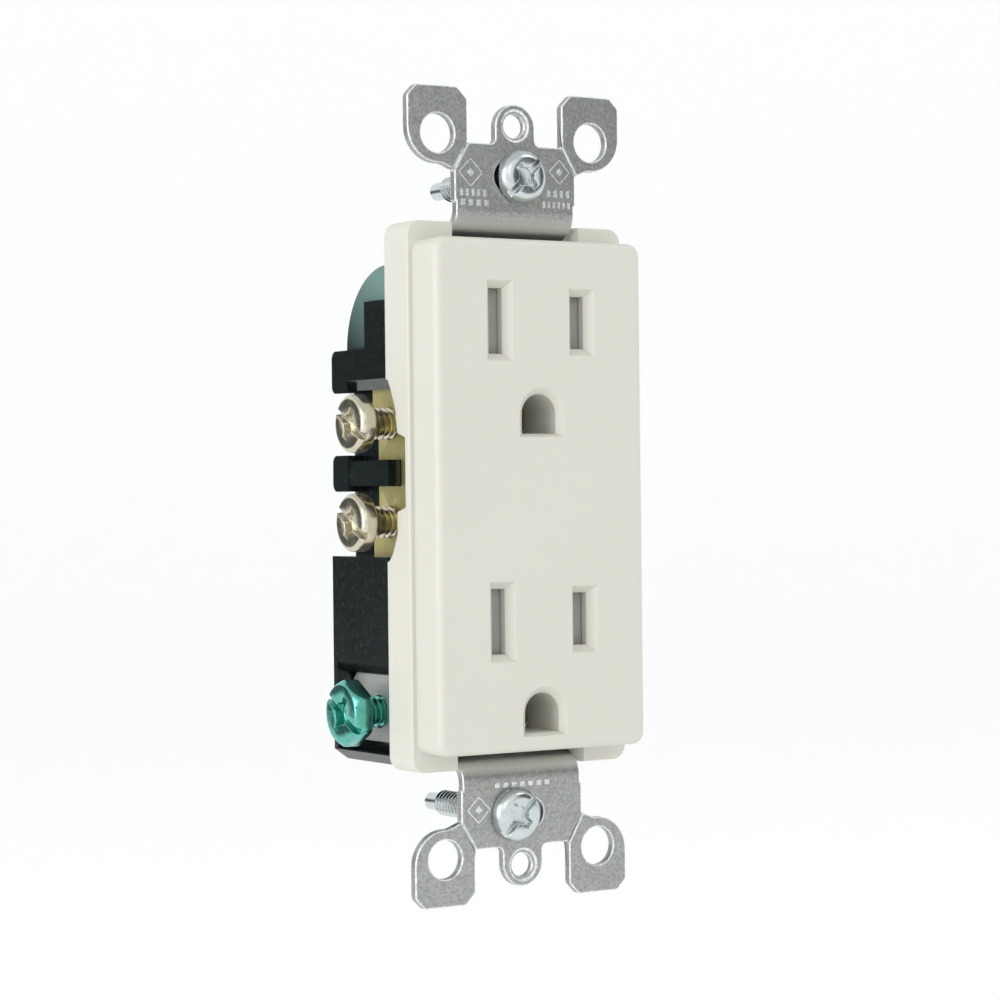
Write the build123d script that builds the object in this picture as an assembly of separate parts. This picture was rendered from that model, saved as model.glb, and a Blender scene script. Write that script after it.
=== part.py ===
from build123d import *
import math
import os

# Frame: +X right seen from the front, +Y into the wall, +Z up, origin on the ears' back plane.

# ---- driving dimensions, mm ----
STRAP_T = 1.27
STRAP_HALF_W = 9.4
STRAP_TOP_Z = 45.9
EAR_TIP_Z = 53.0
EAR_X0 = 7.4
EAR_X1 = 16.5
EAR_HOLE_X = 11.95
EAR_HOLE_Z = 46.85
EAR_HOLE_D = 5.1
TAB_HALF_W = 3.05
TAB_TIP_Z = 51.2
PLATE_HOLE_Z = 48.4
PLATE_HOLE_D = 3.1
PLATE_SINK_D = 4.1
BOX_SCREW_Z = 41.67
BOX_SLOT_LEN = 6.6
BOX_SLOT_H = 3.96
JOGGLE_Z = 37.3
SHOULDER_Z = 38.2
BEND_HALF_W = 9.15
BEND_R = 2.2
BEND_R_LOW = 1.0
MID_Y = 1.6
MID_WIDE_Z = 30.6
MID_HALF_W = 4.2
EYELET_R = 5.4
EYELET_HOLE_D = 6.6

FACE_Y = -6.9
FACE_HALF_W = 16.03
FACE_HALF_H = 33.1
FACE_R = 1.8
FACE_EDGE_R = 0.9
FLANGE_Y = -1.2
FLANGE_HALF_W = 16.72
FLANGE_HALF_H = 35.5
FLANGE_R = 1.9
SKIRT_Y = 4.5
SKIRT_WALL = 1.6
NOTCH_HALF_W = 9.9

MID_Z = 3.13
OUTLET_Z = (22.5, -16.2)
BLADE_X = 6.35
SLOT_W = 2.05
NEUTRAL_H = 8.47
HOT_H = 6.86
BEVEL = 0.95
BEVEL_DEPTH = 1.2
GROUND_DROP = 12.0
GROUND_W = 5.28
GROUND_FLAT = 2.5
GROUND_BEVEL = 0.85
GROUND_BEVEL_LOW = 0.45
CHIMNEY_WALL = 1.0
CHIMNEY_Y = 1.2

BODY_Y = 4.6
BODY_BACK_Y = 18.9
RIB_BACK_Y = 14.6
ARC_Z = 19.45
ARC_R = 10.7
CORE_HALF_W = 13.1
SIDE_X = 16.7
BODY_BOTTOM_Z = -34.9
EDGE_CHAMFER = 1.3
BARRIER_Z = (14.1, 19.45)
MID_BARRIER_HALF_H = 2.4
MID_TONGUE_HALF_H = 1.65
LOWER_BLOCK_Z = (-23.2, -7.85)
GROUND_BAY_FLOOR_Z = -33.5
BOSS_Z = (19.4, 25.6)
BOSS_BACK_Y = 9.9

PLATE_X = 14.5
BRASS_T = 1.0
PLATE_Y = (3.4, 11.6)
PLATE_HALF_Z = (1.75, 11.5)
BREAK_TAB_Y = (3.4, 4.5)
LEAF_T = 0.6
LEAF_Y = (5.0, 10.4)
TERMINAL_DZ = 6.43
TERMINAL_Y = 7.5
TERMINAL_BACKOUT = 4.0
TERMINAL_HEAD_D = 7.6
TERMINAL_HEAD_T = 2.2
TERMINAL_THREAD_D = 4.16
TERMINAL_LEN = 6.4
THREAD_CLEARANCE = 0.05

GROUND_TERM_Y = 11.0
GROUND_TERM_Z = -28.3
GROUND_TAB_Z = (-32.3, -23.3)
GROUND_TAB_Y = 17.5
GROUND_BACKOUT = 3.2
GROUND_HEX_AF = 7.9
GROUND_HEX_T = 2.6

BOX_SCREW_X = (0.55, -1.4)
BOX_SCREW_D = 3.45
BOX_SCREW_HEAD_D = 7.0
BOX_SCREW_HEAD_T = 1.95
BOX_SCREW_TIP_Y = 19.3
DOG_D = 2.45
DOG_LEN = 2.9
HEAD_GAP = 0.05

SHUTTER_Y = (-4.6, -3.1)
SHUTTER_HALF_H = 5.2
SHUTTER_TRAVEL = 2.7
GUIDE_FLOOR_Y = (-3.0, -1.8)
GUIDE_HALF_W = 11.5
GUIDE_HALF_H = 6.2
GUIDE_WALL = 0.8

SEPARATOR_Y = (3.75, 4.55)

FIX_X = 13.4
FIX_Z = (17.0, -15.0)
FIX_D = 2.0


# ---- helpers ----
def slab(x0, x1, y0, y1, z0, z1):
    size = (x1 - x0, y1 - y0, z1 - z0)
    centre = ((x0 + x1) / 2, (y0 + y1) / 2, (z0 + z1) / 2)
    return Pos(*centre) * Box(*size)


def prism(sketch, y0, y1):
    """Extrude an XZ sketch between two depths."""
    return extrude(Plane.XZ.offset(-y1) * sketch, amount=y1 - y0)


def rod_y(x, z, d, y0, y1):
    return prism(Pos(x, z) * Circle(d / 2), y0, y1)


def rod_x(y, z, d, x0, x1):
    rod = Cylinder(d / 2, x1 - x0, rotation=(0, 90, 0))
    return Pos((x0 + x1) / 2, y, z) * rod


def mirror_x(shape):
    return mirror(shape, about=Plane.YZ)


def profile(points):
    return make_face(Polyline(*points, close=True))


def ground_outline(grow, grow_low):
    half = GROUND_W / 2 + grow
    low = GROUND_FLAT + grow_low
    side = Line((-half, 0), (-half, -low))
    floor = Line((-half, -low), (half, -low))
    rise = Line((half, -low), (half, 0))
    top = RadiusArc((half, 0), (-half, 0), -half)
    return make_face([side, floor, rise, top])


def threaded_shank(length, diameter, pitch, point):
    """Ridged screw shank along +Z from the origin, with a tapered point."""
    root = diameter / 2 - 0.6 * pitch
    crest = diameter / 2
    body_end = length - point
    turns = int(body_end / pitch)
    points = [(0, 0), (root, 0)]
    for turn in range(turns):
        base = turn * pitch
        points.append((root, base + 0.12 * pitch))
        points.append((crest, base + 0.44 * pitch))
        points.append((crest, base + 0.56 * pitch))
        points.append((root, base + 0.88 * pitch))
    points.append((root, body_end))
    points.append((root * 0.72, length))
    points.append((0, length))
    section = make_face(Plane.XZ * Polyline(*points, close=True))
    return revolve(section, axis=Axis.Z)


def combination_recess(diameter, depth):
    """Slot crossed with a short cross recess, cut down from the origin plane."""
    slot = Pos(0, 0, -depth / 2) * Box(diameter * 1.1, 0.95, depth)
    cross = Pos(0, 0, -depth * 0.65) * Box(1.05, diameter * 0.55, depth * 1.3)
    hub = Pos(0, 0, -depth * 0.65) * Cylinder(diameter * 0.17, depth * 1.3)
    return slot + cross + hub


def pan_head(diameter, thickness, rim):
    """Head sitting on the origin plane, top towards +Z, with a softened rim."""
    blank = Pos(0, 0, thickness / 2) * Cylinder(diameter / 2, thickness)
    blank = fillet(blank.edges().group_by(Axis.Z)[-1], rim)
    blank = chamfer(blank.edges().group_by(Axis.Z)[0], 0.15)
    return blank - Pos(0, 0, thickness) * combination_recess(diameter, thickness * 0.42)


# ---- front cover ----
def face_openings():
    cuts = []
    deep_y = FACE_Y + BEVEL_DEPTH
    for z in OUTLET_Z:
        for x, height in ((-BLADE_X, NEUTRAL_H), (BLADE_X, HOT_H)):
            outer = Rectangle(SLOT_W + 2 * BEVEL, height + 2 * BEVEL)
            inner = Rectangle(SLOT_W, height)
            cuts.append(prism(Pos(x, z) * inner, FACE_Y, SHUTTER_Y[0]))
            near = Plane.XZ.offset(-FACE_Y) * Pos(x, z) * outer
            far = Plane.XZ.offset(-deep_y) * Pos(x, z) * inner
            cuts.append(loft([near, far]))
        centre = Pos(0, z - GROUND_DROP)
        cuts.append(prism(centre * ground_outline(0, 0), FACE_Y, CHIMNEY_Y))
        near = Plane.XZ.offset(-FACE_Y) * centre * ground_outline(GROUND_BEVEL, GROUND_BEVEL_LOW)
        far = Plane.XZ.offset(-FACE_Y - GROUND_BEVEL) * centre * ground_outline(0, 0)
        cuts.append(loft([near, far]))
    return cuts


def skirt_window():
    """Cut-out in one skirt that leaves the side terminals open, +X side."""
    low = [(SKIRT_Y + 1, -12.0), (4.0, -11.4), (3.1, -10.5), (1.9, -8.0), (1.9, -5.1)]
    deep = [(-0.2, -4.5), (-0.2, 4.5)]
    high = [(1.7, 5.1), (2.2, 8.2), (3.2, 10.6), (4.0, 12.0), (SKIRT_Y + 1, 12.4)]
    outline = [(y, MID_Z + dz) for y, dz in low + deep + high]
    sketch = make_face(Plane.YZ * Polyline(*outline, close=True))
    window = extrude(sketch, amount=3, both=True)
    return Pos(FLANGE_HALF_W, 0, 0) * window


def front_cover():
    raised = prism(RectangleRounded(2 * FACE_HALF_W, 2 * FACE_HALF_H, FACE_R), FACE_Y, SKIRT_Y - 2)
    raised = fillet(raised.faces().sort_by(Axis.Y)[0].edges(), FACE_EDGE_R)
    flange = prism(RectangleRounded(2 * FLANGE_HALF_W, 2 * FLANGE_HALF_H, FLANGE_R), FLANGE_Y, SKIRT_Y)
    flange = fillet(flange.faces().sort_by(Axis.Y)[0].edges(), 0.25)
    cover = raised + flange
    inner_w = FACE_HALF_W - SKIRT_WALL
    inner_h = FACE_HALF_H - SKIRT_WALL
    cover -= prism(RectangleRounded(2 * inner_w, 2 * inner_h, 0.8), SHUTTER_Y[0] - 0.1, SKIRT_Y)
    skirt_w = FLANGE_HALF_W - SKIRT_WALL
    skirt_h = FLANGE_HALF_H - SKIRT_WALL
    cover -= prism(RectangleRounded(2 * skirt_w, 2 * skirt_h, 0.8), 0.6, SKIRT_Y)
    for x in (-FIX_X, FIX_X):
        for z in FIX_Z:
            post = rod_y(x, z, 3.6, SHUTTER_Y[0] - 0.2, SKIRT_Y)
            post += slab(min(x, x * 1.12), max(x, x * 1.12), -5, SKIRT_Y, z - 0.5, z + 0.5)
            cover += post
    for z in FIX_Z:
        for x in (-FIX_X, FIX_X):
            cover -= rod_y(x, z, FIX_D, -2.5, SKIRT_Y)
    for z in OUTLET_Z:
        chimney = Pos(0, z - GROUND_DROP) * ground_outline(CHIMNEY_WALL, CHIMNEY_WALL)
        cover += prism(chimney, SHUTTER_Y[0] - 0.2, CHIMNEY_Y)
    cover -= face_openings()
    for s in (-1, 1):
        z0 = FACE_HALF_H
        z1 = FLANGE_HALF_H + 1
        cover -= slab(-NOTCH_HALF_W, NOTCH_HALF_W, FLANGE_Y - 1, SKIRT_Y, min(s * z0, s * z1), max(s * z0, s * z1))
        z2 = FACE_HALF_H - SKIRT_WALL - 0.2
        cover -= slab(-NOTCH_HALF_W, NOTCH_HALF_W, 0.3, SKIRT_Y, min(s * z2, s * z1), max(s * z2, s * z1))
    window = skirt_window()
    cover -= window
    cover -= mirror_x(window)
    return cover


# ---- shutters ----
def shutter(z):
    plate = prism(Pos(-1.5, z) * RectangleRounded(18.8, 2 * SHUTTER_HALF_H, 0.5), *SHUTTER_Y)
    y0, y1 = SHUTTER_Y
    for x in (-BLADE_X, BLADE_X):
        window_x = x - SHUTTER_TRAVEL
        plate -= slab(window_x - 1.1, window_x + 1.1, y0, y1, z - 4.6, z + 4.6)
        ramp = [(x - 1.15, y0 - 0.1), (x + 1.1, y0 - 0.1), (x + 1.1, y0 + 0.25), (x - 1.15, y0 + 1.0)]
        wedge = extrude(Plane.XY.offset(z - 4.6) * profile(ramp), amount=9.2)
        plate -= wedge
    plate -= slab(-4.4, 1.4, y0, y1, z - 0.75, z + 0.75)
    return plate


def shutter_guide(z):
    y0, y1 = GUIDE_FLOOR_Y
    rim_y = SHUTTER_Y[0]
    outer = Pos(0, z) * RectangleRounded(2 * GUIDE_HALF_W, 2 * GUIDE_HALF_H, 0.8)
    guide = prism(outer, rim_y, y1)
    hollow_w = 2 * (GUIDE_HALF_W - GUIDE_WALL)
    hollow_h = 2 * (SHUTTER_HALF_H + 0.12)
    guide -= prism(Pos(0, z) * Rectangle(hollow_w + 0.6, hollow_h), rim_y, y0)
    for x in (-BLADE_X, BLADE_X):
        guide -= slab(x - 1.2, x + 1.2, y0, y1, z - 4.5, z + 4.5)
    guide += slab(0.45, 1.2, SHUTTER_Y[0] + 0.1, y0, z - 0.6, z + 0.6)
    return guide


def shutter_spring(z):
    length = 4.75
    coil = Helix(pitch=0.62, height=length - 0.3, radius=0.42, center=(0, 0, 0), direction=(0, 0, 1))
    wire = Plane(origin=coil @ 0, z_dir=coil % 0) * RegularPolygon(0.1, 8)
    spring = sweep(wire, path=coil, is_frenet=True)
    spring = Rot(0, 90, 0) * spring
    mid_y = (SHUTTER_Y[0] + SHUTTER_Y[1]) / 2
    return Pos(-4.25, mid_y, z) * spring


def contact_separator():
    """Insulating plate between the strap and the contacts, with its side walls."""
    y0, y1 = SEPARATOR_Y
    z0 = MID_Z - PLATE_HALF_Z[1]
    z1 = MID_Z + PLATE_HALF_Z[1]
    plate = slab(-11.3, 11.3, y0, y1, -21.2, 27.4)
    plate += slab(-13.2, 13.2, y0, y1, z0, z1)
    for s in (-1, 1):
        x0, x1 = sorted((s * 12.3, s * 13.2))
        plate += slab(x0, x1, 0.3, y1, z0, z1)
    for z in OUTLET_Z:
        hole_z = z - GROUND_DROP
        plate -= slab(-4.1, 4.1, y0, y1, hole_z - 4.3, hole_z + 9.2)
        for x in (-BLADE_X, BLADE_X):
            plate -= slab(x - 1.5, x + 1.5, y0, y1, z - 4.7, z + 4.7)
    return plate


# ---- mounting strap ----
def ear():
    centre_z = EAR_TIP_Z - 5.47
    radius = (EAR_X1 - EAR_X0) / 2
    outline = Pos(EAR_HOLE_X, centre_z) * Circle(radius)
    head = profile([(EAR_X0, centre_z), (EAR_X1, centre_z), (EAR_X1, 51.6), (15.1, EAR_TIP_Z),
                    (8.9, EAR_TIP_Z), (EAR_X0, 51.5)])
    corners = head.vertices().group_by(Axis.Y)[1:]
    head = fillet([v for group in corners for v in group], 0.9)
    web = [(EAR_X0, centre_z), (EAR_X0, 45.0), (9.0, 42.0), (10.7, 42.75), (12.2, 43.2), (12.2, centre_z)]
    return outline + head + profile(web)


def strap_end():
    """Flat end of the strap with its ears, holes and score lines, top end."""
    neck_h = STRAP_TOP_Z - SHOULDER_Z
    outline = Pos(0, SHOULDER_Z + neck_h / 2) * Rectangle(2 * STRAP_HALF_W, neck_h)
    tab_mid = (STRAP_TOP_Z - 1 + TAB_TIP_Z - TAB_HALF_W) / 2
    tab_h = TAB_TIP_Z - TAB_HALF_W - STRAP_TOP_Z + 1
    outline += Pos(0, tab_mid) * Rectangle(2 * TAB_HALF_W, tab_h)
    outline += Pos(0, TAB_TIP_Z - TAB_HALF_W) * Circle(TAB_HALF_W)
    for s in (-1, 1):
        root = Pos(s * (TAB_HALF_W + 0.4), STRAP_TOP_Z + 0.4)
        outline += root * Rectangle(0.81, 0.81) - Pos(s * (TAB_HALF_W + 0.8), STRAP_TOP_Z + 0.8) * Circle(0.8)
    right = ear()
    outline += right
    outline += mirror(right, about=Plane.YZ)
    plate = prism(outline, -STRAP_T, 0)
    for x in (-EAR_HOLE_X, EAR_HOLE_X):
        plate -= rod_y(x, EAR_HOLE_Z, EAR_HOLE_D, -STRAP_T, 0)
    plate -= rod_y(0, PLATE_HOLE_Z, PLATE_HOLE_D, -STRAP_T, 0)
    sink = Cone(PLATE_HOLE_D / 2, PLATE_SINK_D / 2, 0.4, rotation=(90, 0, 0))
    plate -= Pos(0, -STRAP_T + 0.2, PLATE_HOLE_Z) * sink
    slot = SlotOverall(BOX_SLOT_LEN, BOX_SLOT_H)
    plate -= prism(Pos(0, BOX_SCREW_Z) * slot, -STRAP_T, 0)
    for s in (-1, 1):
        groove = Rot(0, -s * 31.5, 0) * Box(0.3, 0.3, 5.0)
        plate -= Pos(s * 8.55, -STRAP_T, 43.9) * groove
        plate -= Pos(s * 8.55, 0, 43.9) * groove
    return plate


def joggle():
    """Double bend that carries the strap back under the cover, top end."""
    reach = BEND_R + STRAP_T + BEND_R_LOW
    turn = math.acos((BEND_R + BEND_R_LOW - MID_Y) / reach)
    upper = (BEND_R, JOGGLE_Z)
    lower = (BEND_R - reach * math.cos(turn), JOGGLE_Z - reach * math.sin(turn))

    def outer(radius, angle):
        return (upper[0] - radius * math.cos(angle), upper[1] - radius * math.sin(angle))

    def inner(radius, angle):
        return (lower[0] + radius * math.cos(angle), lower[1] + radius * math.sin(angle))

    front_r = BEND_R + STRAP_T
    back_r = BEND_R_LOW + STRAP_T
    half = turn / 2
    edges = [
        Line((0, SHOULDER_Z), (-STRAP_T, SHOULDER_Z)),
        Line((-STRAP_T, SHOULDER_Z), outer(front_r, 0)),
        ThreePointArc(outer(front_r, 0), outer(front_r, half), outer(front_r, turn)),
        ThreePointArc(outer(front_r, turn), inner(BEND_R_LOW, half), inner(BEND_R_LOW, 0)),
        Line(inner(BEND_R_LOW, 0), (MID_Y, MID_WIDE_Z)),
        Line((MID_Y, MID_WIDE_Z), (MID_Y + STRAP_T, MID_WIDE_Z)),
        Line((MID_Y + STRAP_T, MID_WIDE_Z), inner(back_r, 0)),
        ThreePointArc(inner(back_r, 0), inner(back_r, half), inner(back_r, turn)),
        ThreePointArc(inner(back_r, turn), outer(BEND_R, half), outer(BEND_R, 0)),
        Line(outer(BEND_R, 0), (0, SHOULDER_Z)),
    ]
    section = make_face([Plane.YZ * edge for edge in edges])
    return extrude(section, amount=BEND_HALF_W, both=True)


def ground_tab():
    """Side tab of the strap that carries the green ground screw."""
    z0, z1 = GROUND_TAB_Z
    across = slab(-PLATE_X, -2, MID_Y, MID_Y + STRAP_T, z0, z1)
    back = slab(-PLATE_X, -PLATE_X + STRAP_T, MID_Y, GROUND_TAB_Y, z0, z1)
    tab = across + back
    corner = [e for e in tab.edges().filter_by(Axis.Z)
              if abs(e.center().X + PLATE_X) < 0.01 and abs(e.center().Y - MID_Y) < 0.01]
    tab = fillet(corner, 1.5)
    rear = [e for e in tab.edges().filter_by(Axis.X) if abs(e.center().Y - GROUND_TAB_Y) < 0.01]
    tab = chamfer(rear, 0.9)
    collar_x = -PLATE_X + STRAP_T
    tab += rod_x(GROUND_TERM_Y, GROUND_TERM_Z, 6.0, collar_x - 0.2, collar_x + 0.8)
    bore = TERMINAL_THREAD_D + 2 * THREAD_CLEARANCE
    return tab - rod_x(GROUND_TERM_Y, GROUND_TERM_Z, bore, -PLATE_X - 1, collar_x + 1)


def mounting_strap():
    end = strap_end() + joggle()
    flip = Rot(0, 180, 0) * end
    mid = slab(-MID_HALF_W, MID_HALF_W, MID_Y, MID_Y + STRAP_T, -MID_WIDE_Z - 0.5, MID_WIDE_Z + 0.5)
    for z in OUTLET_Z:
        mid += rod_y(0, z - GROUND_DROP, 2 * EYELET_R, MID_Y, MID_Y + STRAP_T)
    strap = end + flip + mid + ground_tab()
    for z in OUTLET_Z:
        strap -= rod_y(0, z - GROUND_DROP, EYELET_HOLE_D, MID_Y - 1, MID_Y + STRAP_T + 1)
        strap -= rod_y(0, z - GROUND_DROP + 7.2, FIX_D, MID_Y - 1, MID_Y + STRAP_T + 1)
    return strap


# ---- contacts ----
def side_contact():
    """Brass contact for one pole, +X side: terminal plates, break-off tab, clamps."""
    inner = PLATE_X - BRASS_T
    z_in, z_out = PLATE_HALF_Z
    y0, y1 = PLATE_Y
    plates = slab(inner, PLATE_X, y0, y1, MID_Z + z_in, MID_Z + z_out)
    plates += slab(inner, PLATE_X, y0, y1, MID_Z - z_out, MID_Z - z_in)
    plates -= slab(inner - 1, PLATE_X + 1, y1 - 1.4, y1 + 1, MID_Z - TERMINAL_DZ, MID_Z + TERMINAL_DZ)
    plates += slab(inner, PLATE_X, *BREAK_TAB_Y, MID_Z - z_in - 0.2, MID_Z + z_in + 0.2)
    for s, outlet_z in ((1, OUTLET_Z[0]), (-1, OUTLET_Z[1])):
        turn_z = MID_Z + s * (z_out - LEAF_T / 2)
        near_z = outlet_z - s * 4.6
        far_z = outlet_z + s * 3.7
        x_in = BLADE_X - 1.35
        x_out = BLADE_X + 1.35
        run = [((inner + 0.4, turn_z), (10.6, turn_z)), ((10.6, turn_z), (10.6, near_z)),
               ((10.6, near_z), (x_in, near_z)), ((x_in, near_z), (x_in, outlet_z - s * 2.6)),
               ((x_in, outlet_z - s * 2.6), (BLADE_X - 0.95, outlet_z)),
               ((BLADE_X - 0.95, outlet_z), (x_in, far_z)),
               ((x_out, near_z), (x_out, outlet_z - s * 2.6)),
               ((x_out, outlet_z - s * 2.6), (BLADE_X + 0.95, outlet_z)),
               ((BLADE_X + 0.95, outlet_z), (x_out, far_z))]
        for start, stop in run:
            length = math.dist(start, stop) + LEAF_T
            angle = math.degrees(math.atan2(stop[1] - start[1], stop[0] - start[0]))
            middle = ((start[0] + stop[0]) / 2, (start[1] + stop[1]) / 2)
            strip = Pos(*middle) * Rot(0, 0, angle) * SlotOverall(length, LEAF_T)
            plates += prism(strip, *LEAF_Y)
    bore = TERMINAL_THREAD_D + 2 * THREAD_CLEARANCE
    for s in (-1, 1):
        z = MID_Z + s * TERMINAL_DZ
        plates += rod_x(TERMINAL_Y, z, 5.8, inner - 0.25, inner + 0.2)
        plates -= rod_x(TERMINAL_Y, z, bore, inner - 1, PLATE_X + 1)
    return plates


def ground_contact(z):
    """Grounding barrel with its riveted foot."""
    hole_z = z - GROUND_DROP
    y0 = MID_Y + STRAP_T
    outline = Pos(0, hole_z) * Circle(3.9) + Pos(0, hole_z + 5.1) * RectangleRounded(5.6, 7.6, 1.2)
    contact = prism(outline, y0, y0 + 0.7)
    contact += rod_y(0, hole_z, 6.4, y0, y0 + 8.2)
    contact -= rod_y(0, hole_z, 4.86, y0 - 1, y0 + 9)
    contact -= slab(-0.6, 0.6, y0 + 2.0, y0 + 9, hole_z - 4, hole_z + 4)
    contact -= slab(-4, 4, y0 + 2.0, y0 + 9, hole_z - 0.6, hole_z + 0.6)
    return contact - rod_y(0, hole_z + 7.2, FIX_D, y0 - 1, y0 + 1)


def contact_rivet(z):
    rivet_z = z - GROUND_DROP + 7.2
    y0 = MID_Y
    y1 = MID_Y + STRAP_T + 0.7
    rivet = rod_y(0, rivet_z, FIX_D, y0, y1)
    front = rod_y(0, rivet_z, 3.4, y0 - 0.6, y0)
    back = rod_y(0, rivet_z, 3.0, y1, y1 + 0.6)
    front = fillet(front.faces().sort_by(Axis.Y)[0].edges(), 0.4)
    back = fillet(back.faces().sort_by(Axis.Y)[-1].edges(), 0.4)
    return rivet + front + back


# ---- back body ----
def rail_bar(y0, y1, z0, z1, bevel, round_r=0):
    """Block outside the core on the +X side, lower outer edge bevelled, rear edges rounded."""
    bar = slab(CORE_HALF_W - 0.5, SIDE_X, y0, y1, z0, z1)
    if round_r > 0:
        bar = fillet([e for e in bar.edges().filter_by(Axis.X) if e.center().Y > y1 - 0.1], round_r)
    if bevel == 0:
        return bar
    edge = [e for e in bar.edges().filter_by(Axis.Y) if e.center().X > SIDE_X - 0.1 and e.center().Z < z0 + 0.1]
    return chamfer(edge, bevel)


def side_rail(s):
    """Barriers and blocks outside the core on one side, s = -1 neutral side, +1 hot side."""
    z0, z1 = BARRIER_Z
    rails = rail_bar(BODY_Y, RIB_BACK_Y + 1, z0, z1, EDGE_CHAMFER)
    rails += rail_bar(RIB_BACK_Y, BODY_BACK_Y - 0.3, z0 - 0.3, z1, 0, 1.0)
    z0, z1 = LOWER_BLOCK_Z
    if s < 0:
        rails += rail_bar(BODY_Y, BODY_BACK_Y, z0, z1, EDGE_CHAMFER)
        rails += slab(CORE_HALF_W - 0.5, SIDE_X, BODY_Y, BODY_BACK_Y, BODY_BOTTOM_Z, GROUND_BAY_FLOOR_Z)
        rails += slab(CORE_HALF_W - 0.5, SIDE_X, GROUND_TAB_Y + 0.4, BODY_BACK_Y, BODY_BOTTOM_Z, z0 + 2)
    else:
        rails += rail_bar(BODY_Y, BODY_BACK_Y, BODY_BOTTOM_Z, z1, 0)
    half = MID_TONGUE_HALF_H
    rails += slab(CORE_HALF_W - 0.5, SIDE_X - 0.2, BODY_Y, RIB_BACK_Y, MID_Z - half, MID_Z + half)
    half = MID_BARRIER_HALF_H
    rails += rail_bar(RIB_BACK_Y - 0.1, BODY_BACK_Y - 0.4, MID_Z - half, MID_Z + half, 0, 1.0)
    rails += slab(CORE_HALF_W - 0.5, SIDE_X, BODY_Y, BOSS_BACK_Y, BOSS_Z[0] - 0.2, BOSS_Z[1])
    return rails if s > 0 else mirror_x(rails)


def arc_dome(radius, x0, x1, z1):
    """Quarter-round upper end of the body, or of a cell in it."""
    drum = Pos((x0 + x1) / 2, BODY_Y, ARC_Z) * Cylinder(radius, x1 - x0, rotation=(0, 90, 0))
    return drum & slab(x0, x1, BODY_Y, BODY_BACK_Y, ARC_Z - 0.3, z1)


def cavity():
    """Three cells for the contacts, open at the front."""
    cells = []
    for x0, x1, low_z in ((-11.5, -4.5, -21.4), (-3.75, 3.75, -31.6), (4.5, 11.5, -21.4)):
        cells.append(slab(x0, x1, BODY_Y - 1, BODY_BACK_Y - 1.7, low_z, 18.2))
        cells.append(slab(x0, x1, BODY_Y - 1, BODY_Y + ARC_R - 1.4, 18.0, ARC_Z))
        cells.append(arc_dome(ARC_R - 1.3, x0, x1, 27.2))
    return cells


def back_body():
    core = slab(-CORE_HALF_W, CORE_HALF_W, BODY_Y, BODY_BACK_Y, BODY_BOTTOM_Z, ARC_Z)
    body = core + arc_dome(ARC_R, 0.5 - SIDE_X, SIDE_X - 0.5, ARC_Z + ARC_R + 1) + side_rail(-1) + side_rail(1)
    bottom = body.faces().sort_by(Axis.Z)[0].edges()
    body = chamfer(bottom, EDGE_CHAMFER)
    for cell in cavity():
        body -= cell
    inner = PLATE_X - BRASS_T
    for s in (-1, 1):
        for z, out in ((MID_Z + PLATE_HALF_Z[1] - LEAF_T / 2, 1), (MID_Z - PLATE_HALF_Z[1] + LEAF_T / 2, -1)):
            x0, x1 = sorted((s * 11.0, s * (inner + 0.3)))
            body -= slab(x0, x1, BODY_Y - 1, LEAF_Y[1] + 0.3, z - 0.6, z + 0.6)
        for dz in (-TERMINAL_DZ, TERMINAL_DZ):
            x0, x1 = sorted((s * 6.9, s * (CORE_HALF_W + 0.5)))
            body -= rod_x(TERMINAL_Y, MID_Z + dz, 5.9, x0, x1)
        x0, x1 = sorted((s * (inner - 0.1), s * (PLATE_X + 0.1)))
        z0 = MID_Z - PLATE_HALF_Z[1] - 0.15
        z1 = MID_Z + PLATE_HALF_Z[1] + 0.15
        body -= slab(x0, x1, BODY_Y - 1, PLATE_Y[1] + 0.15, z0, z1)
    z0, z1 = GROUND_TAB_Z
    body -= slab(-PLATE_X - 3, -PLATE_X + STRAP_T + 0.1, BODY_Y - 1, GROUND_TAB_Y + 0.3, z0 - 0.1, z1 + 0.1)
    body -= rod_x(GROUND_TERM_Y, GROUND_TERM_Z, 6.4, -PLATE_X, -7.0)
    for x in (-FIX_X, FIX_X):
        for z in FIX_Z:
            body -= rod_y(x, z, FIX_D, BODY_Y - 1, BODY_BACK_Y + 1)
            body -= rod_y(x, z, 4.4, BODY_BACK_Y - 3.2, BODY_BACK_Y + 1)
    for s in (-1, 1):
        for dz in (-7.6, -3.2, 3.2, 7.6):
            body -= rod_y(s * 9.6, MID_Z + dz, 2.5, BODY_BACK_Y - 2.5, BODY_BACK_Y + 1)
            lead = Cone(1.75, 1.2, 0.5, rotation=(90, 0, 0))
            body -= Pos(s * 9.6, BODY_BACK_Y - 0.2, MID_Z + dz) * lead
        for dz in (-5.4, 5.4):
            body -= slab(s * 6.2 - 1.6, s * 6.2 + 1.6, BODY_BACK_Y - 2.5, BODY_BACK_Y + 1, MID_Z + dz - 0.5, MID_Z + dz + 0.5)
    gauge = slab(-1.0, 1.0, BODY_BACK_Y - 0.4, BODY_BACK_Y + 0.1, MID_Z - 7.5, MID_Z + 7.5)
    body -= gauge
    return body


# ---- screws and washers ----
def terminal_screw(s, z):
    """Side terminal screw backed out of its plate, s = side of the body."""
    head = pan_head(TERMINAL_HEAD_D, TERMINAL_HEAD_T, 0.7)
    shank = Rot(180, 0, 0) * threaded_shank(TERMINAL_LEN, TERMINAL_THREAD_D, 0.79, 0.9)
    screw = Rot(0, 90 * s, 0) * Rot(0, 0, 62) * (head + shank)
    return Pos(s * (PLATE_X + TERMINAL_BACKOUT), TERMINAL_Y, z) * screw


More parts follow.
